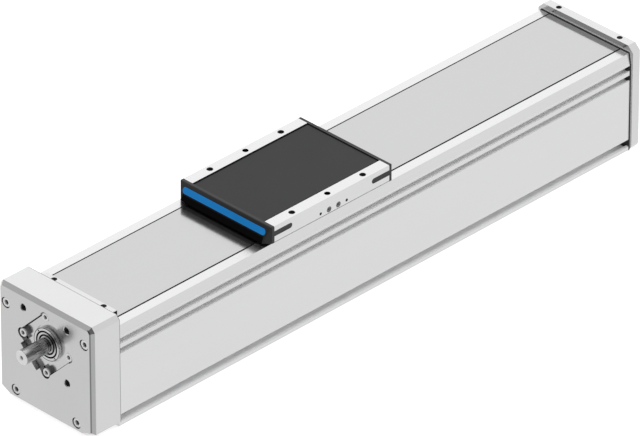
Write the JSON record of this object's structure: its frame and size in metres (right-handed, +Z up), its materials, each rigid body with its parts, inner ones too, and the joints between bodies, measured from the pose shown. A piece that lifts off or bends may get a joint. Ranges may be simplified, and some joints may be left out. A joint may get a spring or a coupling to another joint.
{
  "type": "ball screw linear axis",
  "caption": "Enclosed ball screw linear axis with an aluminium profile body, steel cover strip, carriage and a motor mounting face with a free shaft end.",
  "frame": {"origin": "on the screw axis, in the plane of the motor mounting face", "axes": "+X along the screw from the motor face towards the end cap, +Z up out of the carriage top, +Y to the left seen from the motor"},
  "size_m": [0.7546, 0.1244, 0.1268],
  "materials": {
    "anodised_profile": "extruded and clear anodised",
    "end_piece": "milled and clear anodised",
    "flange_aluminium": "milled",
    "carriage_aluminium": "milled and clear anodised",
    "strip_steel": "rolled and polished",
    "screw_steel": "zinc plated",
    "bearing_steel": "ground",
    "ring_steel": "phosphated spring steel",
    "black_panel": "black anodised",
    "black_plastic": "fine moulded grain",
    "blue_plastic": "satin moulded",
    "light_plastic": "satin moulded",
    "grey_plug": "satin moulded",
    "rubber": "moulded rubber"
  },
  "bodies": {
    "housing": {"bearing_flange": "flange_aluminium", "bearing_flange_screws": "screw_steel", "cap_buffers": "rubber", "cover_strip": "strip_steel", "drive_buffers": "rubber", "drive_housing": "end_piece", "end_cap": "end_piece", "end_cap_screws": "screw_steel", "end_cap_set_screws": "screw_steel", "end_gasket": "rubber", "fixed_bearing_outer": "bearing_steel", "floating_bearing_outer": "bearing_steel", "guide_rail_left": "bearing_steel", "guide_rail_right": "bearing_steel", "housing_screws": "screw_steel", "intermediate_plate": "light_plastic", "profile": "anodised_profile", "rail_screws": "screw_steel", "shaft_seal": "rubber", "strip_clamp": "end_piece", "strip_clamp_screws": "screw_steel"},
    "spindle": {"screw_spindle": "bearing_steel", "lock_nut": "bearing_steel", "fixed_bearing_inner": "bearing_steel", "floating_bearing_inner": "bearing_steel", "journal_ring": "ring_steel"},
    "carriage": {"carriage_body": "carriage_aluminium", "cover_panel": "black_panel", "end_cover_drive": "black_plastic", "end_cover_cap": "black_plastic", "end_insert_drive": "blue_plastic", "end_insert_cap": "blue_plastic", "end_cover_screws": "screw_steel", "saddle": "carriage_aluminium", "saddle_screws": "screw_steel", "runner_block_drive_left": "bearing_steel", "runner_block_drive_right": "bearing_steel", "runner_block_cap_left": "bearing_steel", "runner_block_cap_right": "bearing_steel", "runner_block_ends": "black_plastic", "block_screws": "screw_steel", "ball_nut": "bearing_steel", "nut_screws": "screw_steel", "side_plugs": "grey_plug"}
  },
  "joints": [
    {"name": "spindle_turn", "type": "hinge", "parent": "housing", "child": "spindle", "pos_m": [0, 0, 0], "axis": [-1, 0, 0], "range_deg": [-6337, 11305]},
    {"name": "carriage_travel", "type": "slide", "parent": "housing", "child": "carriage", "axis": [1, 0, 0], "range_m": [-0.176, 0.314], "deforming": ["cover_strip"]}
  ],
  "couplings": [
    {"joint": "spindle_turn", "follows": "carriage_travel", "rad_per_m": 628.32}
  ]
}
